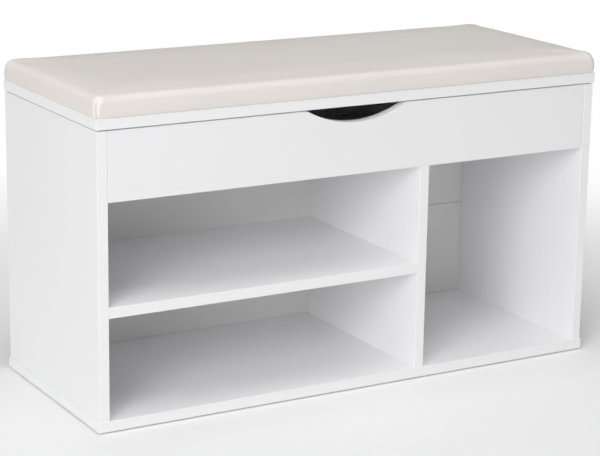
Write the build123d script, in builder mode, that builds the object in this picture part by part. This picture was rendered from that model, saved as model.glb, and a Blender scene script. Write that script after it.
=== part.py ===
from build123d import *
import os
from math import asin, cos, degrees, radians, sin, sqrt

# Entryway bench: a board carcass with two open shelves on the left, one tall bay on the right and a
# storage box under a hinged, cushioned lid. X runs along the bench, the front faces -Y, Z is up.
# The origin is on the floor, under the middle of the bench. Lengths are millimetres.

LENGTH = 800
DEPTH = 320  # front edge of the base to the back of the hinge knuckles
HEIGHT = 460  # floor to the top of the cushion

BOARD = 15  # melamine-faced chipboard
OVERHANG = 1.5  # base and lid stand out beyond the panels at the front and sides
BASE_REAR_LIP = 3  # the base stands out a little more at the rear
EDGE_ROUND = 0.8  # softened edges of the edge banding
GLIDE_HEIGHT = 2
GLIDE_RADIUS = 11
NAIL_RADIUS = 1
NAIL_LENGTH = 10
BUTTON_ROUND = 0.6  # softened rims of the glides and bumpers
BUMPER_RADIUS = 4
BUMPER_FREE_HEIGHT = 0.1  # between a bumper and the closed lid
BOX_HEIGHT = 95.2  # front panel of the storage box
DIVIDER_X = 99  # left face of the divider
RAIL_HEIGHT = 50
REVEAL = 0.4  # gap between each end of the front panel and the side panel

NOTCH_WIDTH = 161  # finger notch in the front panel, between the ends of its arc
NOTCH_DEPTH = 21.5
NOTCH_CENTRE = -6.5  # the notch is cut a little to the left of the middle
NOTCH_FLARE = 12  # radius that runs each end of the arc out into the top edge

BACK_SHEET = 3  # hardboard, let into grooves
BACK_INSET = 3.6  # rear face of the carcass to the back sheet
GROOVE_DEPTH = 5
BASE_GROOVE = 4
GROOVE_SLACK = 0.5  # the groove is wider than the sheet on the side towards the bays
SEAM = 0.8  # gap between the two back sheets
FIT = 0.1  # clearance round a sheet in its groove, and under a rivet's head

CUSHION_HEIGHT = 33
CUSHION_CORNER = 9
CUSHION_ROUND = 10  # rounding of the cushion's top edge
COVER = 1.2  # leatherette
COVER_RETURN = 30  # width of cover turned in under the pad
PAD_BOARD = 6

LEAF = 1.5  # hinge leaf
LID_GAP = 1.8  # between the carcass and the lid: one leaf and its clearance
KNUCKLE_RADIUS = 3
PIN_RADIUS = 1.5
PIN_CLEARANCE = 0.05
AXIS_SETBACK = 3.4  # rear face of the carcass to the hinge axis
HINGE_X = 250
HINGE_LENGTH = 80
LID_LEAF_DEPTH = 42
FIXED_KNUCKLE = 40  # the middle knuckle, on the carcass
KNUCKLE_GAP = 0.3

STAY_LINK = 110  # hinge axis to stay pivot, and stay pivot to stay stud: one length for both
STAY_DROP = 8  # stay pivot below the hinge axis
STAY_SLOPE = 12  # degrees that the stay's track falls towards the front
LID_OPENING = 75  # degrees
TRACK_WIDTH = 9
TRACK_THICKNESS = 5
TRACK_FLOOR = 1.5
STUD_RADIUS = 2.5
STUD_CLEARANCE = 0.15
STUD_LIFT = 0.5  # above the track's floor
STUD_HEAD_RADIUS = 3
STUD_HEAD_HEIGHT = 0.8
ARM_WIDTH = 12
ARM_THICKNESS = 2
RIVET_RADIUS = 2
RIVET_FIT = 0.06
RIVET_HEAD_RADIUS = 3.5
RIVET_HEAD_HEIGHT = 1
BRACKET_LENGTH = 30
BRACKET_FOOT = 18  # from the upright flange towards the middle of the lid
BRACKET_LIP = 7  # below the rivet
BRACKET_CORNER = 6
RUNNING_GAP = 0.3  # between stay pieces that slide past each other

CAM_RADIUS = 7.5
CAM_HEIGHT = 12.5
CAM_SETBACK = 24  # board end to cam centre
BOLT_RADIUS = 3
DOWEL_RADIUS = 4
DOWEL_LENGTH = 30
CAM_THROAT = 4  # how far a cam's bore runs past its centre
CROSS_SLOT = (8, 1.4, 1)  # length, width and depth of the driver slots in a cam's face
BOLT_HEAD = 3  # how far a bolt's head reaches past the cam's centre
BOLT_NECK = 3  # length of the thin neck that the cam grips
DOWEL_CHAMFER = 0.8
PANEL_DRILLING = 11  # how deep bolts and dowels go into a panel's face
HOLE_FIT = 0.05  # radial clearance of a fastener in its hole

# Places worked out from the sizes above.
front_edge = -DEPTH / 2
rear_face = DEPTH / 2 - KNUCKLE_RADIUS - AXIS_SETBACK
panel_front = front_edge + OVERHANG
panel_outer = LENGTH / 2 - OVERHANG
panel_inner = panel_outer - BOARD
panel_middle = panel_outer - BOARD / 2
base_rear = rear_face + BASE_REAR_LIP
base_top = GLIDE_HEIGHT + BOARD
lid_top = HEIGHT - CUSHION_HEIGHT
lid_bottom = lid_top - BOARD
carcass_top = lid_bottom - LID_GAP
box_bottom = carcass_top - BOX_HEIGHT
box_floor_top = box_bottom + BOARD
shelf_bottom = (base_top + box_bottom - BOARD) / 2
shelf_middle = shelf_bottom + BOARD / 2
back_front = rear_face - BACK_INSET - BACK_SHEET
bay_rear = back_front - FIT
groove_end = panel_inner + GROOVE_DEPTH
box_front = panel_front + BOARD
divider_middle = DIVIDER_X + BOARD / 2
rail_bottom = carcass_top - RAIL_HEIGHT
rail_front = rear_face - BOARD

axis_y = rear_face + AXIS_SETBACK
axis_z = carcass_top + LID_GAP / 2
stay_pivot_y = axis_y - sqrt(STAY_LINK**2 - STAY_DROP**2)
stay_pivot_z = axis_z - STAY_DROP
stay_rest_angle = STAY_SLOPE - degrees(asin(STAY_DROP / STAY_LINK))
stud_far = 2 * STAY_LINK * cos(radians(stay_rest_angle))
stud_near = 2 * STAY_LINK * cos(radians(stay_rest_angle + LID_OPENING))

glide_places = [(x, y) for x in (-360, 0, 360) for y in (-130, 130)]
bumper_places = [(x, y) for x in (-panel_middle, panel_middle) for y in (-146, 60)]
hinge_screw_steps = (-13, 0, 13)
lid_leaf_places = [(dx, dy) for dx in (-30, 30) for dy in (-12, -32)]
track_screw_places = (60, 160)  # from the hinge axis along the track
bracket_screw_x = panel_inner - 19
bracket_screw_rows = (stay_pivot_y - 9, stay_pivot_y + 9)

BOTTOM = (Align.CENTER, Align.CENTER, Align.MIN)
SIDES = {"left": -1, "right": 1}

os.makedirs("parts", exist_ok=True)


def save(part, label):
    """Names a finished piece and writes its STEP file."""
    part.label = label
    export_step(part, f"parts/{label}.step")


def span_box(x, y, z, mode=Mode.ADD):
    """A box between two limits along each axis."""
    with Locations(((x[0] + x[1]) / 2, (y[0] + y[1]) / 2, z[0])):
        Box(x[1] - x[0], y[1] - y[0], z[1] - z[0], align=BOTTOM, mode=mode)


def edges_at(part, along, side):
    """The edges that run along one axis and lie furthest towards a side."""
    return part.edges().filter_by(along).group_by(side)[-1]


def back_groove(x, z):
    """The groove that the hardboard back slides into."""
    span_box(x, (back_front - GROOVE_SLACK, back_front + BACK_SHEET + FIT), z, mode=Mode.SUBTRACT)


# Joint planes. Each stands on the end of a board, Z out of the board into the panel that it meets and
# X towards the face that shows the cam.


def end_joints(x, places, outward, cam_side):
    return [Plane((x, y, z), x_dir=cam_side, z_dir=(outward, 0, 0)) for y, z in places]


def panel_side(joints):
    """The same joints seen from the panel: Z out of the panel's face."""
    return [Plane(j.origin, x_dir=j.x_dir, z_dir=-j.z_dir) for j in joints]


DOWN, FORWARD, BACKWARD = (0, 0, -1), (0, -1, 0), (0, 1, 0)
box_floor_middle = box_bottom + BOARD / 2
front_panel_y = panel_front + BOARD / 2
front_panel_z = box_bottom + BOX_HEIGHT / 2
rail_y = rear_face - BOARD / 2
rail_z = rail_bottom + RAIL_HEIGHT / 2

shelf_cam_places = [(-110, shelf_middle), (100, shelf_middle)]
shelf_dowel_places = [(-70, shelf_middle), (60, shelf_middle)]
floor_cam_places = [(-100, box_floor_middle), (100, box_floor_middle)]
floor_dowel_places = [(-60, box_floor_middle), (60, box_floor_middle)]
front_cam_places = [(front_panel_y, front_panel_z)]
front_dowel_places = [(front_panel_y, front_panel_z + step) for step in (-32, 32)]
rail_cam_places = [(rail_y, rail_z)]
rail_dowel_places = [(rail_y, rail_z + 17)]


def both_ends(places, right_end, cam_side):
    left = end_joints(-panel_inner, places, -1, cam_side)
    return left, end_joints(right_end, places, 1, cam_side)


shelf_cams = both_ends(shelf_cam_places, DIVIDER_X, DOWN)
shelf_dowels = both_ends(shelf_dowel_places, DIVIDER_X, DOWN)
floor_cams = both_ends(floor_cam_places, panel_inner, DOWN)
floor_dowels = both_ends(floor_dowel_places, panel_inner, DOWN)
front_cams = both_ends(front_cam_places, panel_inner, BACKWARD)
front_dowels = both_ends(front_dowel_places, panel_inner, BACKWARD)
rail_cams = both_ends(rail_cam_places, panel_inner, FORWARD)
rail_dowels = both_ends(rail_dowel_places, panel_inner, FORWARD)

# Screws. The long ones go up through the base into the panels and the divider, and down through the
# box floor. A plane marks each head, with Z out of the head.
SCREW_ROWS = (-110, 105)
LONG_SCREW = {"head": 5, "radius": 3, "length": 50}
SHORT_SCREW = {"head": 2.6, "radius": 1.5, "length": 12}
PAD_SCREW = {"head": 3.6, "radius": 2, "length": 20}

base_screws = [
    Plane((x, y, GLIDE_HEIGHT), z_dir=(0, 0, -1))
    for x in (-panel_middle, divider_middle, panel_middle)
    for y in SCREW_ROWS
]
divider_screws = [Plane((divider_middle, y, box_floor_top), z_dir=(0, 0, 1)) for y in SCREW_ROWS]
pad_screws = [
    Plane((x, y, lid_bottom), z_dir=(0, 0, -1)) for x in (-300, 0, 300) for y in (-100, 70)
]


def along_track(distance):
    """The point on the stay track's line at a distance from the hinge axis, as (y, z)."""
    slope = radians(STAY_SLOPE)
    return axis_y - distance * cos(slope), axis_z - distance * sin(slope)


track_screws = {
    side: [
        Plane((sign * (panel_inner - TRACK_FLOOR), *along_track(at)), z_dir=(-sign, 0, 0))
        for at in track_screw_places
    ]
    for side, sign in SIDES.items()
}


def drill_board_end(cams, dowels):
    """Cam pockets, bolt bores and dowel holes in the ends of a board."""
    for joints in cams:
        with Locations(*joints):
            Hole(BOLT_RADIUS + 1, depth=CAM_SETBACK)
            with Locations((BOARD / 2, 0, -CAM_SETBACK)):
                Cylinder(
                    CAM_RADIUS + HOLE_FIT,
                    2 * (CAM_HEIGHT + HOLE_FIT),
                    rotation=(0, 90, 0),
                    mode=Mode.SUBTRACT,
                )
    for joints in dowels:
        with Locations(*joints):
            Hole(DOWEL_RADIUS + HOLE_FIT, depth=DOWEL_LENGTH - PANEL_DRILLING + 1)


def drill_panel(cams, dowels):
    """Blind holes in a panel's inner face for the same joints."""
    with Locations(*panel_side(cams)):
        Hole(BOLT_RADIUS + HOLE_FIT, depth=PANEL_DRILLING + HOLE_FIT)
    with Locations(*panel_side(dowels)):
        Hole(DOWEL_RADIUS + HOLE_FIT, depth=PANEL_DRILLING + HOLE_FIT)


def drill_screws(planes, screw, start=0):
    """Screw holes from a depth below the head's face."""
    with Locations(*planes):
        with Locations((0, 0, -start)):
            Hole(screw["radius"] + HOLE_FIT, depth=screw["length"] - start + HOLE_FIT)


def sink_screws(planes, screw, depth):
    """Countersunk holes through the piece that a screw holds down."""
    with Locations(*planes):
        CounterSinkHole(screw["radius"] + HOLE_FIT, screw["head"] + HOLE_FIT, depth=depth)


def turned(planes, steps):
    """Round bars at each plane, stepped along Z. A step is (from, to, radius)."""
    for low, high, radius in steps:
        with Locations(*planes):
            with Locations((0, 0, low)):
                Cylinder(radius, high - low, align=BOTTOM)


def screws(planes, screw):
    """Countersunk screws with a cross recess, heads flush at each plane."""
    radius, head = screw["radius"], screw["head"]
    cone = head - radius
    turned(planes, [(-screw["length"], -cone, radius)])
    with Locations(*planes):
        with Locations((0, 0, -cone)):
            Cone(radius, head, cone, align=BOTTOM)
        for turn in (0, 90):
            Box(head, head / 5, cone, rotation=(0, 0, turn), mode=Mode.SUBTRACT)


# Base board: carries the panels and the divider on long screws, with a groove for the back.
with BuildPart() as bottom_board:
    span_box((-LENGTH / 2, LENGTH / 2), (front_edge, base_rear), (GLIDE_HEIGHT, base_top))
    fillet(bottom_board.edges(), EDGE_ROUND)
    back_groove((-groove_end, groove_end), (base_top - BASE_GROOVE, base_top))
    sink_screws(base_screws, LONG_SCREW, BOARD)
    with Locations(*[(x, y, GLIDE_HEIGHT) for x, y in glide_places]):
        Cylinder(NAIL_RADIUS + HOLE_FIT, 2 * (NAIL_LENGTH + HOLE_FIT), mode=Mode.SUBTRACT)
save(bottom_board.part, "bottom_board")

# Side panels: stand on the base, drilled on the inner face only so that no fastener shows outside.
for side, sign in SIDES.items():
    end = 0 if side == "left" else 1
    cams = floor_cams[end] + front_cams[end] + rail_cams[end]
    dowels = floor_dowels[end] + front_dowels[end] + rail_dowels[end]
    if side == "left":
        cams = cams + shelf_cams[end]
        dowels = dowels + shelf_dowels[end]
    with BuildPart() as side_panel:
        faces = sorted((sign * panel_inner, sign * panel_outer))
        span_box(faces, (panel_front, rear_face), (base_top, carcass_top))
        fillet(edges_at(side_panel, Axis.Z, Axis.Y) + edges_at(side_panel, Axis.Z, -Axis.Y), EDGE_ROUND)
        fillet(edges_at(side_panel, Axis.Y, Axis.Z), EDGE_ROUND)
        groove = sorted((sign * (panel_inner - 1), sign * groove_end))
        back_groove(groove, (base_top, carcass_top))
        drill_panel(cams, dowels)
        drill_screws([p for p in base_screws if p.origin.X * sign > LENGTH / 3], LONG_SCREW, BOARD)
        drill_screws(track_screws[side], SHORT_SCREW, TRACK_FLOOR)
    save(side_panel.part, f"{side}_side_panel")

# Divider between the shelves and the tall bay, under the box floor.
with BuildPart() as divider:
    span_box((DIVIDER_X, DIVIDER_X + BOARD), (panel_front, bay_rear), (base_top, box_bottom))
    fillet(edges_at(divider, Axis.Z, -Axis.Y), EDGE_ROUND)
    drill_panel(shelf_cams[1], shelf_dowels[1])
    divider_base_screws = [p for p in base_screws if abs(p.origin.X - divider_middle) < 1]
    drill_screws(divider_base_screws, LONG_SCREW, BOARD)
    drill_screws(divider_screws, LONG_SCREW, BOARD)
save(divider.part, "divider_panel")

# Shelf of the left bay: its rear edge backs the seam between the two back sheets.
with BuildPart() as shelf:
    span_box((-panel_inner, DIVIDER_X), (panel_front, bay_rear), (shelf_bottom, shelf_bottom + BOARD))
    fillet(edges_at(shelf, Axis.X, -Axis.Y), EDGE_ROUND)
    drill_board_end(shelf_cams, shelf_dowels)
save(shelf.part, "shelf_board")

# Floor of the storage box, behind the front panel and flush with its lower edge.
with BuildPart() as box_floor:
    span_box((-panel_inner, panel_inner), (box_front, bay_rear), (box_bottom, box_floor_top))
    drill_board_end(floor_cams, floor_dowels)
    sink_screws(divider_screws, LONG_SCREW, BOARD)
save(box_floor.part, "box_floor")

# Front panel of the storage box, with the crescent finger notch in its top edge.
notch_radius = (NOTCH_WIDTH**2 / 4 + NOTCH_DEPTH**2) / (2 * NOTCH_DEPTH)
with BuildPart() as front_panel:
    front_end = panel_inner - REVEAL
    span_box((-front_end, front_end), (panel_front, box_front), (box_bottom, carcass_top))
    with BuildSketch(Plane.XZ.offset(-box_front)):
        with Locations((NOTCH_CENTRE, carcass_top - NOTCH_DEPTH + notch_radius)):
            Circle(notch_radius)
    extrude(amount=BOARD, mode=Mode.SUBTRACT)
    notch_ends = front_panel.edges().filter_by(Axis.Y).group_by(Axis.Z)[-1].sort_by(Axis.X)[1:3]
    fillet(notch_ends, NOTCH_FLARE)
    fillet(front_panel.faces().sort_by(Axis.Y)[0].edges(), EDGE_ROUND)
    drill_board_end(front_cams, front_dowels)
save(front_panel.part, "front_panel")

# Rear rail: closes the box at the top rear and takes the hinges on its top edge.
with BuildPart() as rear_rail:
    span_box((-panel_inner, panel_inner), (rail_front, rear_face), (rail_bottom, carcass_top))
    fillet(edges_at(rear_rail, Axis.X, Axis.Z), EDGE_ROUND)
    back_groove((-panel_inner, panel_inner), (rail_bottom, rail_bottom + GROOVE_DEPTH))
    drill_board_end(rail_cams, rail_dowels)
    for hinge_x in (-HINGE_X, HINGE_X):
        for step in hinge_screw_steps:
            with Locations((hinge_x + step, rail_y, carcass_top)):
                Hole(SHORT_SCREW["radius"] + HOLE_FIT, depth=SHORT_SCREW["length"])
save(rear_rail.part, "rear_rail")

# Hardboard back in two sheets that meet behind the shelf.
sheet_end = groove_end - FIT
for label, low, high in (
    ("lower_back_sheet", base_top - BASE_GROOVE + FIT, shelf_middle - SEAM / 2),
    ("upper_back_sheet", shelf_middle + SEAM / 2, rail_bottom + GROOVE_DEPTH - FIT),
):
    with BuildPart() as sheet:
        span_box((-sheet_end, sheet_end), (back_front, back_front + BACK_SHEET), (low, high))
    save(sheet.part, label)

# Nail-on glides under the base, set back from its edges.
with BuildPart() as glides:
    disc = (0, GLIDE_HEIGHT, GLIDE_RADIUS)
    nail = (GLIDE_HEIGHT, GLIDE_HEIGHT + NAIL_LENGTH, NAIL_RADIUS)
    turned([Plane((x, y, 0)) for x, y in glide_places], [disc, nail])
    fillet(glides.edges().group_by(Axis.Z)[0], BUTTON_ROUND)
save(glides.part, "glides")


# Knock-down fittings.
def save_fittings(label, cams, dowels):
    """The cams, bolts and dowels of one board, each kind a group of separate solids."""
    joints = cams[0] + cams[1]
    with BuildPart() as cam_group:
        with Locations(*joints):
            with Locations((BOARD / 2 - CAM_HEIGHT / 2, 0, -CAM_SETBACK)):
                Cylinder(CAM_RADIUS, CAM_HEIGHT, rotation=(0, 90, 0))
            with Locations((0, 0, -CAM_SETBACK - CAM_THROAT)):
                Cylinder(BOLT_RADIUS + 1, CAM_SETBACK + CAM_THROAT, align=BOTTOM, mode=Mode.SUBTRACT)
            with Locations((BOARD / 2, 0, -CAM_SETBACK)):
                slot_length, slot_width, slot_depth = CROSS_SLOT
                Box(2 * slot_depth, slot_length, slot_width, mode=Mode.SUBTRACT)
                Box(2 * slot_depth, slot_width, slot_length, mode=Mode.SUBTRACT)
    save(cam_group.part, f"{label}_cams")
    neck_start = -CAM_SETBACK + 1
    neck_end = neck_start + BOLT_NECK
    with BuildPart() as bolt_group:
        turned(
            joints,
            [
                (-CAM_SETBACK - BOLT_HEAD, neck_start, BOLT_RADIUS),
                (neck_start, neck_end, BOLT_RADIUS - 1),
                (neck_end, PANEL_DRILLING, BOLT_RADIUS),
            ],
        )
    save(bolt_group.part, f"{label}_cam_bolts")
    with BuildPart() as dowel_group:
        turned(dowels[0] + dowels[1], [(PANEL_DRILLING - DOWEL_LENGTH, PANEL_DRILLING, DOWEL_RADIUS)])
        chamfer(dowel_group.edges().filter_by(GeomType.CIRCLE), DOWEL_CHAMFER)
    save(dowel_group.part, f"{label}_dowels")


save_fittings("shelf", shelf_cams, shelf_dowels)
save_fittings("box_floor", floor_cams, floor_dowels)
save_fittings("front_panel", front_cams, front_dowels)
save_fittings("rear_rail", rail_cams, rail_dowels)

with BuildPart() as base_screw_group:
    screws(base_screws, LONG_SCREW)
save(base_screw_group.part, "base_screws")

with BuildPart() as divider_screw_group:
    screws(divider_screws, LONG_SCREW)
save(divider_screw_group.part, "divider_screws")

# Bumpers on the panels' top edges, just short of the closed lid.
with BuildPart() as bumpers:
    buttons = [Plane((x, y, carcass_top)) for x, y in bumper_places]
    turned(buttons, [(0, LID_GAP - BUMPER_FREE_HEIGHT, BUMPER_RADIUS)])
    fillet(bumpers.edges().group_by(Axis.Z)[-1], BUTTON_ROUND)
save(bumpers.part, "lid_bumpers")

# Lid board, drilled from below for the pad, the hinge leaves and the stay brackets.
with BuildPart() as lid_board:
    span_box((-LENGTH / 2, LENGTH / 2), (front_edge, rear_face), (lid_bottom, lid_top))
    fillet(lid_board.edges(), EDGE_ROUND)
    sink_screws(pad_screws, PAD_SCREW, BOARD)
    short = SHORT_SCREW["radius"] + HOLE_FIT
    for hinge_x in (-HINGE_X, HINGE_X):
        spots = [(hinge_x + dx, axis_y + dy, lid_bottom) for dx, dy in lid_leaf_places]
        with Locations(*[Plane(spot, z_dir=(0, 0, -1)) for spot in spots]):
            Hole(short, depth=SHORT_SCREW["length"] - LEAF + HOLE_FIT)
    for x in (-bracket_screw_x, bracket_screw_x):
        for y in bracket_screw_rows:
            with Locations(Plane((x, y, lid_bottom), z_dir=(0, 0, -1))):
                Hole(short, depth=SHORT_SCREW["length"] - LEAF + HOLE_FIT)
save(lid_board.part, "lid_board")

# Seat pad: a thin board, a foam block and a leatherette cover turned in under the board.
pad_y = (front_edge + rear_face) / 2
pad_depth = rear_face - front_edge


def pad_shape(inset, low, high, rounding):
    """A block with the pad's outline, drawn in by an inset, with a rounded top edge."""
    with BuildPart(mode=Mode.PRIVATE) as shape:
        with BuildSketch(Plane.XY.offset(low)):
            with Locations((0, pad_y)):
                width, depth = LENGTH - 2 * inset, pad_depth - 2 * inset
                RectangleRounded(width, depth, CUSHION_CORNER - inset)
        extrude(amount=high - low)
        if rounding:
            fillet(shape.faces().sort_by(Axis.Z)[-1].edges(), rounding)
    return shape.part


cover_outside = pad_shape(0, lid_top, HEIGHT, CUSHION_ROUND)
cover_inside = pad_shape(COVER, lid_top + COVER, HEIGHT - COVER, CUSHION_ROUND - COVER)
foam_block = pad_shape(2.5, lid_top + COVER + PAD_BOARD, HEIGHT - COVER - 0.4, CUSHION_ROUND - COVER)
pad_board_block = pad_shape(4, lid_top + COVER, lid_top + COVER + PAD_BOARD, 0)

with BuildPart() as cushion_cover:
    add(cover_outside)
    add(cover_inside, mode=Mode.SUBTRACT)
    with BuildSketch(Plane.XY.offset(lid_top)):
        with Locations((0, pad_y)):
            Rectangle(LENGTH - 2 * COVER_RETURN, pad_depth - 2 * COVER_RETURN)
    extrude(amount=COVER, mode=Mode.SUBTRACT)
save(cushion_cover.part, "cushion_cover")

with BuildPart() as cushion_foam:
    add(foam_block)
save(cushion_foam.part, "cushion_foam")

with BuildPart() as cushion_board:
    add(pad_board_block)
    drill_screws(pad_screws, PAD_SCREW, BOARD)
save(cushion_board.part, "cushion_board")

with BuildPart() as pad_screw_group:
    screws(pad_screws, PAD_SCREW)
save(pad_screw_group.part, "cushion_screws")


# Hinges: the fixed leaf lies on the rail with the middle knuckle, the lid leaf fits round it.
def knuckle(x):
    """A knuckle's barrel between two limits along the hinge axis."""
    with Locations(Plane((x[0], axis_y, axis_z), z_dir=(1, 0, 0))):
        Cylinder(KNUCKLE_RADIUS, x[1] - x[0], align=BOTTOM)


def pin_bore(hinge_x):
    with Locations(Plane((hinge_x, axis_y, axis_z), z_dir=(1, 0, 0))):
        Cylinder(PIN_RADIUS + PIN_CLEARANCE, HINGE_LENGTH + 2, mode=Mode.SUBTRACT)


leaf_screws = {"carcass": [], "lid": []}
for side, sign in SIDES.items():
    hinge_x = sign * HINGE_X
    inner = (hinge_x - FIXED_KNUCKLE / 2, hinge_x + FIXED_KNUCKLE / 2)
    outer = (hinge_x - HINGE_LENGTH / 2, hinge_x + HINGE_LENGTH / 2)
    fixed_spots = [
        Plane((hinge_x + step, rail_y, carcass_top + LEAF)) for step in hinge_screw_steps
    ]
    lid_spots = [
        Plane((hinge_x + dx, axis_y + dy, lid_bottom - LEAF), z_dir=(0, 0, -1))
        for dx, dy in lid_leaf_places
    ]
    leaf_screws["carcass"] += fixed_spots
    leaf_screws["lid"] += lid_spots

    with BuildPart() as fixed_leaf:
        span_box(inner, (rail_front + 1, axis_y), (carcass_top, carcass_top + LEAF))
        knuckle(inner)
        pin_bore(hinge_x)
        sink_screws(fixed_spots, SHORT_SCREW, LEAF)
    save(fixed_leaf.part, f"{side}_hinge_fixed_leaf")

    with BuildPart() as lid_leaf:
        span_box(outer, (axis_y - LID_LEAF_DEPTH, axis_y), (lid_bottom - LEAF, lid_bottom))
        window = (inner[0] - KNUCKLE_GAP, inner[1] + KNUCKLE_GAP)
        span_box(window, (rail_front, axis_y), (carcass_top, lid_bottom), mode=Mode.SUBTRACT)
        knuckle((outer[0], window[0]))
        knuckle((window[1], outer[1]))
        pin_bore(hinge_x)
        sink_screws(lid_spots, SHORT_SCREW, LEAF)
    save(lid_leaf.part, f"{side}_hinge_lid_leaf")

    with BuildPart() as hinge_pin:
        ends = HINGE_LENGTH / 2 + 1
        turned(
            [Plane((hinge_x, axis_y, axis_z), z_dir=(1, 0, 0))],
            [(-ends, ends, PIN_RADIUS), (-ends - 1, -ends, PIN_RADIUS + 0.8)],
        )
    save(hinge_pin.part, f"{side}_hinge_pin")

for body, label in (("carcass", "hinge_rail_screws"), ("lid", "hinge_lid_screws")):
    with BuildPart() as leaf_screw_group:
        screws(leaf_screws[body], SHORT_SCREW)
    save(leaf_screw_group.part, label)

# Sliding lid stays. The arm is as long as its pivot is far from the hinge axis, so its stud runs along
# a straight track that points at the axis, and the arm turns twice as fast as the lid.
arm_low = TRACK_THICKNESS + RUNNING_GAP
arm_high = arm_low + ARM_THICKNESS
bracket_low = arm_high + RUNNING_GAP
bracket_high = bracket_low + LEAF
pivot = (axis_y - stay_pivot_y, -STAY_DROP)
stud = tuple(stud_far * f for f in (cos(radians(STAY_SLOPE)), -sin(radians(STAY_SLOPE))))
arm_middle = ((pivot[0] + stud[0]) / 2, (pivot[1] + stud[1]) / 2)
arm_angle = degrees(asin((stud[1] - pivot[1]) / STAY_LINK))
track_middle = (stud_near + stud_far) / 2
track_centre = (axis_y - along_track(track_middle)[0], along_track(track_middle)[1] - axis_z)
track_travel = stud_far - stud_near + 2 * RUNNING_GAP


def stay_plane(sign, inward):
    """A plane beside the side panel with the hinge axis as its origin, X to the front and Y up."""
    return Plane((sign * (panel_inner - inward), axis_y, axis_z), x_dir=(0, -1, 0), z_dir=(-1, 0, 0))


rivet_planes, bracket_screws = [], []
for side, sign in SIDES.items():
    with BuildPart() as track:
        with BuildSketch(stay_plane(sign, 0)):
            with Locations(Location(track_centre, -STAY_SLOPE)):
                SlotCenterToCenter(track_travel, TRACK_WIDTH)
        extrude(amount=sign * TRACK_THICKNESS)
        with BuildSketch(stay_plane(sign, TRACK_FLOOR)):
            with Locations(Location(track_centre, -STAY_SLOPE)):
                SlotCenterToCenter(track_travel, 2 * (STUD_RADIUS + STUD_CLEARANCE))
        extrude(amount=sign * TRACK_THICKNESS, mode=Mode.SUBTRACT)
        sink_screws(track_screws[side], SHORT_SCREW, TRACK_FLOOR)
    save(track.part, f"{side}_stay_track")

    with BuildPart() as arm:
        with BuildSketch(stay_plane(sign, arm_low)):
            with Locations(Location(arm_middle, arm_angle)):
                SlotCenterToCenter(STAY_LINK, ARM_WIDTH)
            with Locations(pivot):
                Circle(RIVET_RADIUS + RIVET_FIT, mode=Mode.SUBTRACT)
            with Locations(stud):
                Circle(STUD_RADIUS - 1 + HOLE_FIT, mode=Mode.SUBTRACT)
        extrude(amount=sign * ARM_THICKNESS)
    save(arm.part, f"{side}_stay_arm")

    with BuildPart() as stud_piece:
        turned(
            [Plane((sign * panel_inner, *along_track(stud_far)), z_dir=(-sign, 0, 0))],
            [
                (TRACK_FLOOR + STUD_LIFT, arm_low, STUD_RADIUS),
                (arm_low, arm_high, STUD_RADIUS - 1),
                (arm_high, arm_high + STUD_HEAD_HEIGHT, STUD_HEAD_RADIUS),
            ],
        )
    save(stud_piece.part, f"{side}_stay_stud")

    rivet_plane = Plane((sign * panel_inner, stay_pivot_y, stay_pivot_z), z_dir=(-sign, 0, 0))
    spots = [
        Plane((sign * bracket_screw_x, y, lid_bottom - LEAF), z_dir=(0, 0, -1))
        for y in bracket_screw_rows
    ]
    with BuildPart() as bracket:
        flange = sorted((sign * (panel_inner - bracket_low), sign * (panel_inner - bracket_high)))
        foot_end = panel_inner - bracket_high - BRACKET_FOOT
        foot = sorted((sign * (panel_inner - bracket_low), sign * foot_end))
        length = (stay_pivot_y - BRACKET_LENGTH / 2, stay_pivot_y + BRACKET_LENGTH / 2)
        span_box(flange, length, (stay_pivot_z - BRACKET_LIP, lid_bottom))
        fillet(edges_at(bracket, Axis.X, -Axis.Z), BRACKET_CORNER)
        span_box(foot, length, (lid_bottom - LEAF, lid_bottom))
        with Locations(rivet_plane):
            Cylinder(RIVET_RADIUS + RIVET_FIT, 4 * TRACK_THICKNESS, mode=Mode.SUBTRACT)
        sink_screws(spots, SHORT_SCREW, LEAF)
    rivet_planes.append(rivet_plane)
    bracket_screws += spots
    save(bracket.part, f"{side}_stay_bracket")

with BuildPart() as rivets:
    turned(
        rivet_planes,
        [
            (arm_low - FIT - RIVET_HEAD_HEIGHT, arm_low - FIT, RIVET_HEAD_RADIUS),
            (arm_low - FIT, bracket_high, RIVET_RADIUS),
            (bracket_high, bracket_high + RIVET_HEAD_HEIGHT, RIVET_HEAD_RADIUS),
        ],
    )
save(rivets.part, "stay_rivets")

with BuildPart() as track_screw_group:
    screws(track_screws["left"] + track_screws["right"], SHORT_SCREW)
save(track_screw_group.part, "stay_track_screws")

with BuildPart() as bracket_screw_group:
    screws(bracket_screws, SHORT_SCREW)
save(bracket_screw_group.part, "stay_bracket_screws")

print(f"hinge axis y {axis_y:.3f} z {axis_z:.3f}")
print(f"stay pivot y {stay_pivot_y:.3f} z {stay_pivot_z:.3f}, stud {along_track(stud_far)}")
print(f"track from {stud_near:.2f} to {stud_far:.2f} mm from the axis, rest angle {stay_rest_angle:.3f}")
print(f"levels: base {base_top} shelf {shelf_bottom} box {box_bottom}")
print(f"levels: carcass {carcass_top} lid {lid_bottom} cushion {lid_top}")
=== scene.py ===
import math

import bmesh
import bpy
import numpy as np
from mathutils import Matrix, Vector


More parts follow.
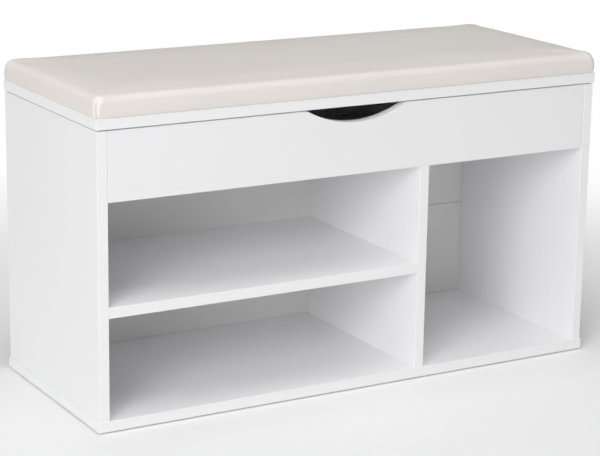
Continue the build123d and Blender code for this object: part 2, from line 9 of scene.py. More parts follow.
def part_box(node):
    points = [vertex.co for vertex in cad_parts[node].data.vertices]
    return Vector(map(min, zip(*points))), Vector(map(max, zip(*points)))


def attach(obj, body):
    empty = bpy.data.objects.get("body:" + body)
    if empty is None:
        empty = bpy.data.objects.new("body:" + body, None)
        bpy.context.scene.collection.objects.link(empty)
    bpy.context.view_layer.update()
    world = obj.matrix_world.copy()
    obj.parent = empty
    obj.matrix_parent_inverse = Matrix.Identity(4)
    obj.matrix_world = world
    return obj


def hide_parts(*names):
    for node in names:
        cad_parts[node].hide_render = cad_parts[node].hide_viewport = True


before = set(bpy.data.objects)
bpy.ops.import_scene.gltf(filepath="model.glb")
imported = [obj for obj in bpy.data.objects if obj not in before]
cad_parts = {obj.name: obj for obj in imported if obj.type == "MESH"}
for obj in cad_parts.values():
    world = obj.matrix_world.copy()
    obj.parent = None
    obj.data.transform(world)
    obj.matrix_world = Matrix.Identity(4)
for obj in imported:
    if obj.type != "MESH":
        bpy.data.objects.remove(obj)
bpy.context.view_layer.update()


# ---- Camera ----
# A long lens nearly three metres off to the front left, looking some fifteen degrees down on the
# bench. The display gamma lifts the middle tones.

SENSOR_WIDTH = 36.0
LENS_LENGTH = 119.4
DISPLAY_GAMMA = 1.25
CAMERA_PLACE = (-1.4228, -2.4385, 0.9382)
CAMERA_TURN = math.radians(30.196)
CAMERA_TILT = math.radians(14.653)
CAMERA_ROLL = math.radians(0.92)

lens = bpy.data.cameras.new("camera")
lens.sensor_width = SENSOR_WIDTH
lens.lens = LENS_LENGTH
camera = bpy.data.objects.new("camera", lens)
camera.matrix_world = (
    Matrix.Translation(CAMERA_PLACE)
    @ Matrix.Rotation(-CAMERA_TURN, 4, "Z")
    @ Matrix.Rotation(math.pi / 2 - CAMERA_TILT, 4, "X")
    @ Matrix.Rotation(CAMERA_ROLL, 4, "Z")
)
bpy.context.collection.objects.link(camera)
bpy.context.scene.camera = camera
bpy.context.scene.view_settings.view_transform = "Standard"
bpy.context.scene.view_settings.gamma = DISPLAY_GAMMA


# ---- Studio floor and lights ----
# A seamless pale paper floor, two large soft lights in front and to the left, a wide one overhead,
# and an even surround that adds little light but is seen as white.

FLOOR_REACH = 14.0
FLOOR_CORNERS = 96
FLOOR_PALE = (0.95, 0.95, 0.95, 1)
WHITE = (1, 1, 1, 1)
SURROUND_LIGHT = 0.08
SURROUND_SEEN = 1.0
WHITENS_FROM = 0.35
WHITE_AT = 1.5
AIM = Vector((0.0, 0.0, 0.23))

# name, degrees round from the front, degrees up, metres off, width in metres, watts
LAMPS = (
    ("key_light", -47, 24, 6.0, 3.0, 162),
    ("side_light", -58, 10, 6.0, 2.6, 57),
    ("top_light", -20, 78, 4.0, 3.5, 94),
)


def add_node(tree, kind, **settings):
    node = tree.nodes.new("ShaderNode" + kind)
    for name, value in settings.items():
        setattr(node, name, value)
    return node


def join(tree, *pairs):
    for source, target in pairs:
        tree.links.new(source, target)


def new_finish(name):
    material = bpy.data.materials.new(name)
    material.use_nodes = True
    tree = material.node_tree
    shader = tree.nodes["Principled BSDF"]
    place = add_node(tree, "TexCoord").outputs["Object"]
    return material, tree, shader, place


def new_object(name, form):
    mesh = bpy.data.meshes.new(name)
    form.to_mesh(mesh)
    form.free()
    piece = bpy.data.objects.new(name, mesh)
    bpy.context.collection.objects.link(piece)
    return piece


def soft_light(name, azimuth, elevation, distance, size, power):
    light = bpy.data.lights.new(name, "AREA")
    light.shape = "DISK"
    light.size = size
    light.energy = power
    lamp = bpy.data.objects.new(name, light)
    a, e = math.radians(azimuth), math.radians(elevation)
    back = Vector((math.sin(a) * math.cos(e), -math.cos(a) * math.cos(e), math.sin(e)))
    lamp.matrix_world = (
        Matrix.Translation(AIM + back * distance) @ back.to_track_quat("Z", "Y").to_matrix().to_4x4()
    )
    bpy.context.collection.objects.link(lamp)


for lamp in LAMPS:
    soft_light(*lamp)

world = bpy.data.worlds.new("surround")
world.use_nodes = True
tree = world.node_tree
tree.nodes["Background"].inputs["Color"].default_value = WHITE
seen = add_node(tree, "LightPath")
glow = add_node(tree, "MapRange")
glow.inputs["To Min"].default_value = SURROUND_LIGHT
glow.inputs["To Max"].default_value = SURROUND_SEEN
join(tree, (seen.outputs["Is Camera Ray"], glow.inputs["Value"]),
     (glow.outputs["Result"], tree.nodes["Background"].inputs["Strength"]))
bpy.context.scene.world = world

form = bmesh.new()
bmesh.ops.create_circle(form, cap_ends=True, segments=FLOOR_CORNERS, radius=FLOOR_REACH)
floor = new_object("studio_floor", form)
floor_finish, tree, shader, place = new_finish("floor_paper")
mottle = add_node(tree, "TexNoise", noise_dimensions="3D")
mottle.inputs["Scale"].default_value = 1.5
paper = add_node(tree, "MapRange")
paper.inputs["To Min"].default_value = 0.55
paper.inputs["To Max"].default_value = 0.7
join(tree, (place, mottle.inputs["Vector"]), (mottle.outputs["Fac"], paper.inputs["Value"]),
     (paper.outputs["Result"], shader.inputs["Roughness"]))
shader.inputs["Base Color"].default_value = FLOOR_PALE
shader.inputs["Specular IOR Level"].default_value = 0.2
# the paper brightens to the white of the surround away from the bench
reach = add_node(tree, "VectorMath", operation="LENGTH")
whiten = add_node(tree, "MapRange", interpolation_type="SMOOTHSTEP")
whiten.inputs["From Min"].default_value = WHITENS_FROM
whiten.inputs["From Max"].default_value = WHITE_AT
seen = add_node(tree, "LightPath")
share = add_node(tree, "Math", operation="MULTIPLY")
white = add_node(tree, "Emission")
white.inputs["Color"].default_value = WHITE
shown = add_node(tree, "MixShader")
join(tree, (place, reach.inputs[0]), (reach.outputs["Value"], whiten.inputs["Value"]),
     (whiten.outputs["Result"], share.inputs[0]), (seen.outputs["Is Camera Ray"], share.inputs[1]),
     (share.outputs[0], shown.inputs[0]), (shader.outputs[0], shown.inputs[1]),
     (white.outputs[0], shown.inputs[2]),
     (shown.outputs[0], tree.nodes["Material Output"].inputs[0]))
floor.data.materials.append(floor_finish)


# ---- Melamine boards ----
# The carcass and lid are 15 mm particle board faced in cool white melamine with a fine satin
# emboss, cut square and closed on every visible edge with a thin glued strip of the same white.

EDGING = 0.0008
HAIRLINE = 0.00018
OUT_OF_REACH = 1.0
BOARD_WHITES = (0.880, 0.880, 0.893), (0.900, 0.900, 0.912)
EDGING_WHITE = (0.912, 0.912, 0.920)
SEAM_GREY = (0.45, 0.45, 0.46)
SEAM_STRENGTH = 0.45
SMALL_PEBBLES = 2.3  # to each large one, along a length
EMBOSS_SCALE = 1900.0
EMBOSS_DEPTH = 0.00006
BOARDS = (
    "bottom_board", "left_side_panel", "right_side_panel", "divider_panel", "shelf_board",
    "box_floor", "front_panel", "rear_rail", "lid_board",
)


def new_group(name, takes, gives):
    group = bpy.data.node_groups.new(name, "ShaderNodeTree")
    for label, kind in takes:
        group.interface.new_socket(label, in_out="INPUT", socket_type="NodeSocket" + kind)
    for label, kind in gives:
        group.interface.new_socket(label, in_out="OUTPUT", socket_type="NodeSocket" + kind)
    start = group.nodes.new("NodeGroupInput").outputs
    end = group.nodes.new("NodeGroupOutput").inputs
    return group, start, end


def place_group(tree, group, **values):
    node = tree.nodes.new("ShaderNodeGroup")
    node.node_tree = group
    for name, value in values.items():
        node.inputs[name].default_value = value
    return node


# slow drift in tone across a surface, from 0 to 1
slow_tone, start, end = new_group(
    "slow_tone", [("Place", "Vector"), ("Scale", "Float")], [("Tone", "Float")]
)
drift = add_node(slow_tone, "TexNoise")
drift.inputs["Detail"].default_value = 3.0
drift.inputs["Roughness"].default_value = 0.45
spread = add_node(slow_tone, "MapRange")
spread.inputs["From Min"].default_value = 0.3
spread.inputs["From Max"].default_value = 0.7
join(slow_tone, (start["Place"], drift.inputs["Vector"]), (start["Scale"], drift.inputs["Scale"]),
     (drift.outputs["Fac"], spread.inputs["Value"]), (spread.outputs["Result"], end["Tone"]))

# fine rounded pebbles of two sizes, as a height from 0 to 1
pebble, start, end = new_group(
    "pebble", [("Place", "Vector"), ("Scale", "Float")], [("Height", "Float")]
)
cells = add_node(pebble, "TexVoronoi", feature="SMOOTH_F1")
cells.inputs["Smoothness"].default_value = 0.6
finer = add_node(pebble, "Math", operation="MULTIPLY")
finer.inputs[1].default_value = SMALL_PEBBLES
grit = add_node(pebble, "TexNoise")
grit.inputs["Detail"].default_value = 2.0
blend = add_node(pebble, "Math", operation="ADD")
join(pebble, (start["Place"], cells.inputs["Vector"]), (start["Scale"], cells.inputs["Scale"]),
     (start["Place"], grit.inputs["Vector"]), (start["Scale"], finer.inputs[0]),
     (finer.outputs[0], grit.inputs["Scale"]), (cells.outputs["Distance"], blend.inputs[0]),
     (grit.outputs["Fac"], blend.inputs[1]), (blend.outputs[0], end["Height"]))

# the edging strip round a board and the hairline where it meets the face
edge_strip, start, end = new_group(
    "edge_strip",
    [("Place", "Vector"), ("Centre", "Vector"), ("Reach", "Vector"), ("Thickness", "Float")],
    [("Strip", "Float"), ("Seam", "Float")],
)
offset = add_node(edge_strip, "VectorMath", operation="SUBTRACT")
mirror = add_node(edge_strip, "VectorMath", operation="ABSOLUTE")
depth = add_node(edge_strip, "VectorMath", operation="SUBTRACT")
parts = add_node(edge_strip, "SeparateXYZ")
least_xy = add_node(edge_strip, "Math", operation="MINIMUM")
least = add_node(edge_strip, "Math", operation="MINIMUM")
on_strip = add_node(edge_strip, "Math", operation="LESS_THAN")
apart = add_node(edge_strip, "Math", operation="SUBTRACT")
away = add_node(edge_strip, "Math", operation="ABSOLUTE")
hairline = add_node(edge_strip, "MapRange", interpolation_type="SMOOTHSTEP")
hairline.inputs["From Min"].default_value = 0.0
hairline.inputs["From Max"].default_value = HAIRLINE
hairline.inputs["To Min"].default_value = 1.0
hairline.inputs["To Max"].default_value = 0.0
join(edge_strip, (start["Place"], offset.inputs[0]), (start["Centre"], offset.inputs[1]),
     (offset.outputs[0], mirror.inputs[0]), (start["Reach"], depth.inputs[0]),
     (mirror.outputs[0], depth.inputs[1]), (depth.outputs[0], parts.inputs[0]),
     (parts.outputs["X"], least_xy.inputs[0]), (parts.outputs["Y"], least_xy.inputs[1]),
     (least_xy.outputs[0], least.inputs[0]), (parts.outputs["Z"], least.inputs[1]),
     (least.outputs[0], on_strip.inputs[0]), (start["Thickness"], on_strip.inputs[1]),
     (least.outputs[0], apart.inputs[0]), (start["Thickness"], apart.inputs[1]),
     (apart.outputs[0], away.inputs[0]), (away.outputs[0], hairline.inputs["Value"]),
     (on_strip.outputs[0], end["Strip"]), (hairline.outputs["Result"], end["Seam"]))


# places of a Mix node's colour sockets, which share their names with the other kinds
COLOUR_A, COLOUR_B, COLOUR_OUT = 6, 7, 2


def mix_colours(tree, factor, first, second):
    mix = add_node(tree, "Mix", data_type="RGBA")
    join(tree, (factor, mix.inputs["Factor"]))
    for socket, colour in ((mix.inputs[COLOUR_A], first), (mix.inputs[COLOUR_B], second)):
        if isinstance(colour, tuple):
            socket.default_value = (*colour, 1)
        else:
            join(tree, (colour, socket))
    return mix.outputs[COLOUR_OUT]


def ranged(tree, value, low, high):
    spread = add_node(tree, "MapRange")
    spread.inputs["To Min"].default_value = low
    spread.inputs["To Max"].default_value = high
    join(tree, (value, spread.inputs["Value"]))
    return spread.outputs["Result"]


def raised(tree, shader, height, strength, distance):
    bump = add_node(tree, "Bump")
    bump.inputs["Strength"].default_value = strength
    bump.inputs["Distance"].default_value = distance
    join(tree, (height, bump.inputs["Height"]), (bump.outputs["Normal"], shader.inputs["Normal"]))


def coat(finish, *names):
    for name in names:
        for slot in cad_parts[name].material_slots:
            slot.material = finish


def melamine(board):
    finish, tree, shader, place = new_finish("melamine_" + board)
    low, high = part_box(board)
    reach = (high - low) / 2
    # the two broad faces have no strip, so the board's thinnest way is put out of reach
    reach[min(range(3), key=lambda axis: reach[axis])] = OUT_OF_REACH
    tone = place_group(tree, slow_tone, Scale=3.0)
    grain = place_group(tree, pebble, Scale=EMBOSS_SCALE)
    strip = place_group(tree, edge_strip, Centre=(low + high) / 2, Reach=reach, Thickness=EDGING)
    join(tree, *[(place, group.inputs["Place"]) for group in (tone, grain, strip)])
    face = mix_colours(tree, tone.outputs["Tone"], *BOARD_WHITES)
    edged = mix_colours(tree, strip.outputs["Strip"], face, EDGING_WHITE)
    lined = mix_colours(tree, ranged(tree, strip.outputs["Seam"], 0.0, SEAM_STRENGTH), edged,
                        SEAM_GREY)
    join(tree, (lined, shader.inputs["Base Color"]),
         (ranged(tree, tone.outputs["Tone"], 0.40, 0.47), shader.inputs["Roughness"]))
    raised(tree, shader, grain.outputs["Height"], strength=0.12, distance=EMBOSS_DEPTH)
    shader.inputs["Specular IOR Level"].default_value = 0.45
    coat(finish, board)


for board in BOARDS:
    melamine(board)


# ---- Back sheets ----
# Two sheets of 3 mm hardboard slid into grooves in the panels. The side towards the bays is
# painted matt white and the other is left as it came off the press, brown with a mesh print.

FLOAT_A, FLOAT_B = 2, 3  # places of a Mix node's plain number sockets
SCREEN_SCALE = 160.0
PAINT_WHITES = (0.835, 0.832, 0.828), (0.865, 0.863, 0.860)
FIBRE_BROWNS = (0.155, 0.092, 0.052), (0.300, 0.195, 0.120)
SCREEN_BROWN = (0.10, 0.06, 0.035)

finish, tree, shader, place = new_finish("hardboard")
paint_line = (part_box("upper_back_sheet")[0].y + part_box("upper_back_sheet")[1].y) / 2
tone = place_group(tree, slow_tone, Scale=6.0)
grain = place_group(tree, pebble, Scale=1200.0)
fibre = add_node(tree, "TexNoise")
fibre.inputs["Scale"].default_value = 260.0
fibre.inputs["Detail"].default_value = 5.0
axes = add_node(tree, "SeparateXYZ")
rear_side = add_node(tree, "Math", operation="GREATER_THAN")
rear_side.inputs[1].default_value = paint_line
mesh_x = add_node(tree, "TexWave", bands_direction="X")
mesh_z = add_node(tree, "TexWave", bands_direction="Z")
for wave in (mesh_x, mesh_z):
    wave.inputs["Scale"].default_value = SCREEN_SCALE
    join(tree, (place, wave.inputs["Vector"]))
screen = add_node(tree, "Math", operation="MULTIPLY")
join(tree, (place, tone.inputs["Place"]), (place, grain.inputs["Place"]),
     (place, fibre.inputs["Vector"]), (place, axes.inputs[0]),
     (axes.outputs["Y"], rear_side.inputs[0]),
     (mesh_x.outputs["Fac"], screen.inputs[0]), (mesh_z.outputs["Fac"], screen.inputs[1]))
paint = mix_colours(tree, tone.outputs["Tone"], *PAINT_WHITES)
brown = mix_colours(tree, fibre.outputs["Fac"], *FIBRE_BROWNS)
pressed = mix_colours(tree, ranged(tree, screen.outputs[0], 0.0, 0.35), brown, SCREEN_BROWN)
colour = mix_colours(tree, rear_side.outputs[0], paint, pressed)
relief = add_node(tree, "Mix", data_type="FLOAT")
join(tree, (rear_side.outputs[0], relief.inputs["Factor"]),
     (grain.outputs["Height"], relief.inputs[FLOAT_A]), (screen.outputs[0], relief.inputs[FLOAT_B]),
     (colour, shader.inputs["Base Color"]),
     (ranged(tree, fibre.outputs["Fac"], 0.52, 0.68), shader.inputs["Roughness"]))
raised(tree, shader, relief.outputs[0], strength=0.25, distance=0.00015)
shader.inputs["Specular IOR Level"].default_value = 0.35
coat(finish, "lower_back_sheet", "upper_back_sheet")


# ---- Glides and lid bumpers ----
# White nylon discs nailed under the base, and soft clear buttons stuck to the carcass rim that
# the lid comes down on.

finish, tree, shader, place = new_finish("white_nylon")
tone = place_group(tree, slow_tone, Scale=90.0)
grain = place_group(tree, pebble, Scale=2600.0)
join(tree, (place, tone.inputs["Place"]), (place, grain.inputs["Place"]))
join(tree, (mix_colours(tree, tone.outputs["Tone"], (0.74, 0.74, 0.72), (0.80, 0.80, 0.78)),
            shader.inputs["Base Color"]),
     (ranged(tree, tone.outputs["Tone"], 0.36, 0.5), shader.inputs["Roughness"]))
raised(tree, shader, grain.outputs["Height"], strength=0.15, distance=0.00005)
coat(finish, "glides")

finish, tree, shader, place = new_finish("clear_bumper")
tone = place_group(tree, slow_tone, Scale=120.0)
join(tree, (place, tone.inputs["Place"]),
     (mix_colours(tree, tone.outputs["Tone"], (0.80, 0.80, 0.78), (0.88, 0.88, 0.87)),
      shader.inputs["Base Color"]),
     (ranged(tree, tone.outputs["Tone"], 0.16, 0.3), shader.inputs["Roughness"]))
raised(tree, shader, tone.outputs["Tone"], strength=0.1, distance=0.0001)
shader.inputs["Transmission Weight"].default_value = 0.3
shader.inputs["IOR"].default_value = 1.45
coat(finish, "lid_bumpers")


# ---- Cams, bolts and dowels ----
# Die-cast cams drop into bores in the board ends and draw on steel bolts screwed into the
# panels, and fluted beech dowels beside them keep the joint from turning.

finish, tree, shader, place = new_finish("cast_zinc")
tone = place_group(tree, slow_tone, Scale=220.0)
grain = place_group(tree, pebble, Scale=3200.0)
join(tree, (place, tone.inputs["Place"]), (place, grain.inputs["Place"]))
join(tree, (mix_colours(tree, tone.outputs["Tone"], (0.42, 0.42, 0.43), (0.60, 0.60, 0.61)),
            shader.inputs["Base Color"]),
     (ranged(tree, tone.outputs["Tone"], 0.38, 0.62), shader.inputs["Roughness"]))
raised(tree, shader, grain.outputs["Height"], strength=0.35, distance=0.0001)
shader.inputs["Metallic"].default_value = 0.9
coat(finish, "shelf_cams", "box_floor_cams", "front_panel_cams", "rear_rail_cams")

finish, tree, shader, place = new_finish("beech")
lie = add_node(tree, "Mapping")
lie.inputs["Scale"].default_value = (60.0, 1400.0, 1400.0)
streaks = add_node(tree, "TexNoise")
streaks.inputs["Scale"].default_value = 1.0
streaks.inputs["Detail"].default_value = 5.0
join(tree, (place, lie.inputs["Vector"]), (lie.outputs["Vector"], streaks.inputs["Vector"]),
     (mix_colours(tree, streaks.outputs["Fac"], (0.50, 0.33, 0.18), (0.72, 0.53, 0.34)),
      shader.inputs["Base Color"]),
     (ranged(tree, streaks.outputs["Fac"], 0.6, 0.8), shader.inputs["Roughness"]))
raised(tree, shader, streaks.outputs["Fac"], strength=0.4, distance=0.0001)
coat(finish, "shelf_dowels", "box_floor_dowels", "front_panel_dowels", "rear_rail_dowels")


# ---- Bolts, screws and rivets ----
# Turned or rolled steel with a bright zinc plate, faintly blue and a little uneven, as it comes
# from the barrel.

finish, tree, shader, place = new_finish("zinc_plate")
tone = place_group(tree, slow_tone, Scale=300.0)
fine = add_node(tree, "TexNoise")
fine.inputs["Scale"].default_value = 2600.0
join(tree, (place, tone.inputs["Place"]), (place, fine.inputs["Vector"]))
join(tree, (mix_colours(tree, tone.outputs["Tone"], (0.58, 0.60, 0.62), (0.70, 0.70, 0.69)),
            shader.inputs["Base Color"]),
     (ranged(tree, fine.outputs["Fac"], 0.22, 0.42), shader.inputs["Roughness"]))
raised(tree, shader, fine.outputs["Fac"], strength=0.15, distance=0.00004)
shader.inputs["Metallic"].default_value = 1.0
coat(finish, "shelf_cam_bolts", "box_floor_cam_bolts", "front_panel_cam_bolts",
     "rear_rail_cam_bolts", "base_screws", "divider_screws", "stay_track_screws",
     "stay_bracket_screws", "cushion_screws", "stay_rivets")


# ---- Hinges ----
# Pressed steel leaves with rolled knuckles on a steel pin, nickel plated over a rolled surface
# whose lines run along the leaf, held with countersunk screws of the same finish.

finish, tree, shader, place = new_finish("nickel_plate")
lie = add_node(tree, "Mapping")
lie.inputs["Scale"].default_value = (90.0, 3600.0, 3600.0)
brushed = add_node(tree, "TexNoise")
brushed.inputs["Scale"].default_value = 1.0
brushed.inputs["Detail"].default_value = 4.0
tone = place_group(tree, slow_tone, Scale=60.0)
join(tree, (place, lie.inputs["Vector"]), (lie.outputs["Vector"], brushed.inputs["Vector"]),
     (place, tone.inputs["Place"]),
     (mix_colours(tree, tone.outputs["Tone"], (0.62, 0.60, 0.57), (0.70, 0.69, 0.66)),
      shader.inputs["Base Color"]),
     (ranged(tree, brushed.outputs["Fac"], 0.2, 0.4), shader.inputs["Roughness"]))
raised(tree, shader, brushed.outputs["Fac"], strength=0.2, distance=0.00005)
shader.inputs["Metallic"].default_value = 1.0
coat(finish, *[side + part for side in ("left_hinge_", "right_hinge_")
               for part in ("fixed_leaf", "lid_leaf", "pin")],
     "hinge_rail_screws", "hinge_lid_screws")


# ---- Lid stays ----
# Each stay is a flat steel arm riveted to a bracket under the lid, with a moulded nylon stud on
# its other end that slides along a grooved steel track on the side panel.

finish, tree, shader, place = new_finish("stay_steel")
tone = place_group(tree, slow_tone, Scale=45.0)
rolled = add_node(tree, "TexNoise")
rolled.inputs["Scale"].default_value = 900.0
rolled.inputs["Detail"].default_value = 3.0
join(tree, (place, tone.inputs["Place"]), (place, rolled.inputs["Vector"]))
join(tree, (mix_colours(tree, tone.outputs["Tone"], (0.52, 0.53, 0.54), (0.62, 0.62, 0.62)),
            shader.inputs["Base Color"]),
     (ranged(tree, rolled.outputs["Fac"], 0.3, 0.48), shader.inputs["Roughness"]))
raised(tree, shader, rolled.outputs["Fac"], strength=0.12, distance=0.00004)
shader.inputs["Metallic"].default_value = 1.0
coat(finish, *[side + part for side in ("left_stay_", "right_stay_")
               for part in ("track", "arm", "bracket")])

finish, tree, shader, place = new_finish("grey_nylon")
tone = place_group(tree, slow_tone, Scale=150.0)
grain = place_group(tree, pebble, Scale=3000.0)
join(tree, (place, tone.inputs["Place"]), (place, grain.inputs["Place"]))
join(tree, (mix_colours(tree, tone.outputs["Tone"], (0.48, 0.48, 0.49), (0.58, 0.58, 0.58)),
            shader.inputs["Base Color"]),
     (ranged(tree, tone.outputs["Tone"], 0.35, 0.5), shader.inputs["Roughness"]))
raised(tree, shader, grain.outputs["Height"], strength=0.15, distance=0.00004)
coat(finish, "left_stay_stud", "right_stay_stud")


# ---- Seat cushion ----
# A slab of firm foam on a thin plywood board, wrapped in one piece of smooth cream leatherette
# that is folded to a single upright pleat at each corner and stapled underneath. The wrapped pad
# is one closed form that lies flat on the lid.

finish, tree, shader, place = new_finish("raw_plywood")
lie = add_node(tree, "Mapping")
lie.inputs["Scale"].default_value = (9.0, 220.0, 900.0)
veneer = add_node(tree, "TexNoise")
veneer.inputs["Scale"].default_value = 1.0
veneer.inputs["Detail"].default_value = 6.0
join(tree, (place, lie.inputs["Vector"]), (lie.outputs["Vector"], veneer.inputs["Vector"]),
     (mix_colours(tree, veneer.outputs["Fac"], (0.50, 0.36, 0.22), (0.70, 0.56, 0.39)),
      shader.inputs["Base Color"]),
     (ranged(tree, veneer.outputs["Fac"], 0.6, 0.8), shader.inputs["Roughness"]))
raised(tree, shader, veneer.outputs["Fac"], strength=0.3, distance=0.0002)
coat(finish, "cushion_board")

PAD_LOW, PAD_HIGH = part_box("cushion_cover")
OVERHANG = 0.0028  # of each side past the edge of the lid
TUCK = 0.0022
TUCK_HEIGHT = 0.011
CORNER_RADIUS = 0.011
TOP_ROUNDING = 0.011
BEVEL_STEPS = 4
SPARE_BELOW = 0.008  # depth that is cut away once the pad has swollen
ABOVE_LID = 0.0002  # keeps the flat underside clear of the lid
SWELL = 0.0030  # the most that a point moves
SWELL_SOFTNESS = 0.008
TOP_RISE = 0.9  # share of the swell that the top is lowered by to start with
VOXEL = 0.006
PRESSURE = 4.0
SETTLE_FRAMES = 20

lid_top = PAD_LOW.z
top_start = PAD_HIGH.z - SWELL * TOP_RISE
size = Vector((PAD_HIGH.x - PAD_LOW.x + 2 * OVERHANG, PAD_HIGH.y - PAD_LOW.y + 2 * OVERHANG,
               top_start - lid_top + SPARE_BELOW))
middle = Vector(((PAD_LOW.x + PAD_HIGH.x) / 2, (PAD_LOW.y + PAD_HIGH.y) / 2,
                 (lid_top - SPARE_BELOW + top_start) / 2))

form = bmesh.new()
bmesh.ops.create_cube(form, size=1.0,
                      matrix=Matrix.Translation(middle) @ Matrix.Diagonal((*size, 1)))
corners = [e for e in form.edges if abs(e.verts[0].co.z - e.verts[1].co.z) > size.z / 2]
bmesh.ops.bevel(form, geom=corners, offset=CORNER_RADIUS, segments=BEVEL_STEPS, profile=0.5,
                affect="EDGES", material=-1)
TOUCHING = 1e-5
rim = [e for e in form.edges if all(v.co.z > top_start - TOUCHING for v in e.verts)]
bmesh.ops.bevel(form, geom=rim, offset=TOP_ROUNDING, segments=BEVEL_STEPS, profile=0.5,
                affect="EDGES", material=-1)
pad = new_object("seat_cushion", form)


def apply_modifiers(piece):
    shaped = bpy.data.meshes.new_from_object(
        piece.evaluated_get(bpy.context.evaluated_depsgraph_get())
    )
    piece.modifiers.clear()
    piece.data = shaped


remesh = pad.modifiers.new("remesh", "REMESH")
remesh.mode = "VOXEL"
remesh.voxel_size = VOXEL
apply_modifiers(pad)

# the foam pushes the cover out a few millimetres, except where it is stapled down
before = np.array([v.co[:] for v in pad.data.vertices])
held = pad.vertex_groups.new(name="held")
held.add([v.index for v in pad.data.vertices if v.co.z < lid_top + VOXEL / 2], 1.0, "REPLACE")
cloth = pad.modifiers.new("cloth", "CLOTH")
cloth.settings.use_pressure = True
cloth.settings.uniform_pressure_force = PRESSURE
cloth.settings.vertex_group_mass = "held"
cloth.settings.effector_weights.gravity = 0.0
cloth.point_cache.frame_start = 1
cloth.point_cache.frame_end = SETTLE_FRAMES
for moment in range(1, SETTLE_FRAMES + 1):
    bpy.context.scene.frame_set(moment)
apply_modifiers(pad)
bpy.context.scene.frame_set(1)
move = np.array([v.co[:] for v in pad.data.vertices]) - before
far = np.linalg.norm(move, axis=1, keepdims=True)
kept = SWELL * (1 - np.exp(-far / SWELL_SOFTNESS))
settled = before + move * kept / np.maximum(far, 1e-9)
pad.data.vertices.foreach_set("co", settled.ravel())
pad.vertex_groups.clear()

soften = pad.modifiers.new("soften", "SUBSURF")
soften.levels = 1
soften.render_levels = 1
apply_modifiers(pad)

# the underside is cut flat where it lies on the lid
form = bmesh.new()
form.from_mesh(pad.data)
everything = form.verts[:] + form.edges[:] + form.faces[:]
cut = bmesh.ops.bisect_plane(form, geom=everything, plane_co=(0, 0, lid_top + ABOVE_LID),
                             plane_no=(0, 0, 1), clear_inner=True)
outline = [g for g in cut["geom_cut"] if isinstance(g, bmesh.types.BMEdge)]
bmesh.ops.contextual_create(form, geom=outline)

# stapling under the board draws the foot of the pad in
half = size / 2
for v in form.verts:
    slack = max(0.0, 1 - (v.co.z - lid_top) / TUCK_HEIGHT) ** 2
    v.co.x -= TUCK * slack * (v.co.x - middle.x) / half.x
    v.co.y -= TUCK * slack * (v.co.y - middle.y) / half.y

# each corner's spare leatherette is folded into one upright pleat, open towards the bench's end
PLEAT_TOP = 0.026  # height over the lid where the pleat ends
PLEAT_FADE = 0.010
PLEAT_ASIDE = 0.0008  # from the middle of the corner's curve
PLEAT_BOW = 0.0007
FOLD_DEPTH = 0.0032
FOLD_WIDTH = 0.0009
LIP = 0.0014
LIP_REACH = 0.007
CORNER_ZONE = 0.035
FOOT = 0.0003  # the lowest edge stays as it was cut
FINER_WITHIN = (0.022, 0.012, 0.0075)  # each halves the mesh again, nearer to the fold
FINER_MARGIN = 0.004
FINER_ROUNDING = 0.6


def corner_place(co):
    """Inset from the nearest corner's end face and front or back face, and which corner it is."""
    sx = 1 if co.x > middle.x else -1
    sy = 1 if co.y > middle.y else -1
    return half.x - sx * (co.x - middle.x), half.y - sy * (co.y - middle.y), sx, sy


def round_corner(co):
    """How far along the corner's curve a point is, end face to front, and the way out there."""
    from_end, from_front, sx, sy = corner_place(co)
    out = Vector((sx * max(0.0, CORNER_RADIUS - from_end),
                  sy * max(0.0, CORNER_RADIUS - from_front), 0))
    angle = math.atan2(abs(out.y), abs(out.x)) if out.length else math.pi / 4
    along = CORNER_RADIUS * (angle - math.pi / 4)
    along += max(0.0, from_end - CORNER_RADIUS) - max(0.0, from_front - CORNER_RADIUS)
    return along, out


for reach in FINER_WITHIN:
    near = []
    for edge in form.edges:
        inset = [corner_place(v.co) for v in edge.verts]
        if all(max(spot[:2]) < reach + FINER_MARGIN for spot in inset):
            if all(abs(round_corner(v.co)[0]) < reach for v in edge.verts):
                if all(v.co.z > lid_top + ABOVE_LID / 2 for v in edge.verts):
                    near.append(edge)
    bmesh.ops.subdivide_edges(form, edges=near, cuts=1, use_grid_fill=True, smooth=FINER_ROUNDING)
bmesh.ops.triangulate(form, faces=[f for f in form.faces if len(f.verts) > 4])

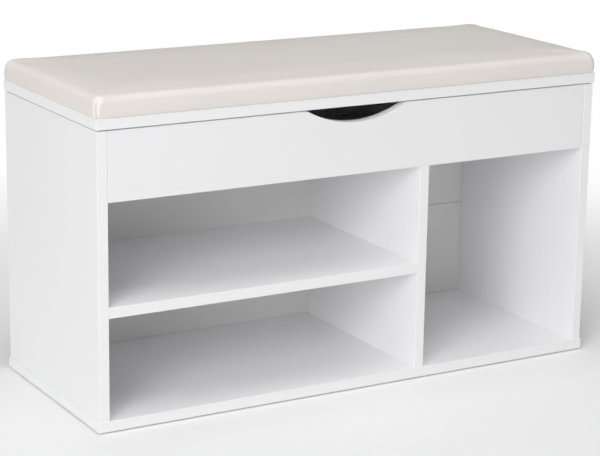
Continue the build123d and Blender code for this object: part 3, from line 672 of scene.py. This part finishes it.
for v in form.verts:
    height = v.co.z - lid_top
    if max(corner_place(v.co)[:2]) > CORNER_ZONE or height > PLEAT_TOP or height < FOOT:
        continue
    along, out = round_corner(v.co)
    if out.length < 1e-6:
        continue
    fade = min(1.0, (PLEAT_TOP - height) / PLEAT_FADE)
    fade = fade * fade * (3 - 2 * fade)
    gap = along + PLEAT_ASIDE + PLEAT_BOW * math.sin(math.pi * min(1.0, height / PLEAT_TOP))
    push = -FOLD_DEPTH * math.exp(-((gap / FOLD_WIDTH) ** 2))
    if gap > 0:
        push += LIP * math.exp(-gap / LIP_REACH) * (1 - math.exp(-gap / FOLD_WIDTH))
    v.co += out.normalized() * push * fade
bmesh.ops.recalc_face_normals(form, faces=form.faces)
form.to_mesh(pad.data)
form.free()
for face in pad.data.polygons:
    face.use_smooth = True

HIDE_CREAMS = (0.772, 0.722, 0.680), (0.808, 0.760, 0.718)
# painted shade: the darker cream laid into the grain's hollows
PORE_SHADE_CREAM = (0.64, 0.585, 0.535)
CREASE_SHARE = 4.0  # height of the slow creases beside the grain's

finish, tree, shader, place = new_finish("cream_leatherette")
tone = place_group(tree, slow_tone, Scale=5.0)
grain = place_group(tree, pebble, Scale=950.0)
creases = add_node(tree, "TexNoise")
creases.inputs["Scale"].default_value = 22.0
creases.inputs["Detail"].default_value = 2.0
join(tree, *[(place, socket) for socket in (tone.inputs["Place"], grain.inputs["Place"],
                                            creases.inputs["Vector"])])
hide = mix_colours(tree, tone.outputs["Tone"], *HIDE_CREAMS)
# painted shade in the grain's hollows: the colour darkens towards the shade cream where the grain is
# low
pore_shaded = mix_colours(tree, ranged(tree, grain.outputs["Height"], 0.4, 0.0), hide, PORE_SHADE_CREAM)
relief = add_node(tree, "Math", operation="MULTIPLY_ADD")
relief.inputs[1].default_value = CREASE_SHARE
join(tree, (pore_shaded, shader.inputs["Base Color"]),
     (ranged(tree, grain.outputs["Height"], 0.36, 0.50), shader.inputs["Roughness"]),
     (creases.outputs["Fac"], relief.inputs[0]), (grain.outputs["Height"], relief.inputs[2]))
raised(tree, shader, relief.outputs[0], strength=0.55, distance=0.0002)
shader.inputs["Sheen Weight"].default_value = 0.08
pad.data.materials.clear()
pad.data.materials.append(finish)
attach(pad, "lid")
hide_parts("cushion_cover", "cushion_foam")
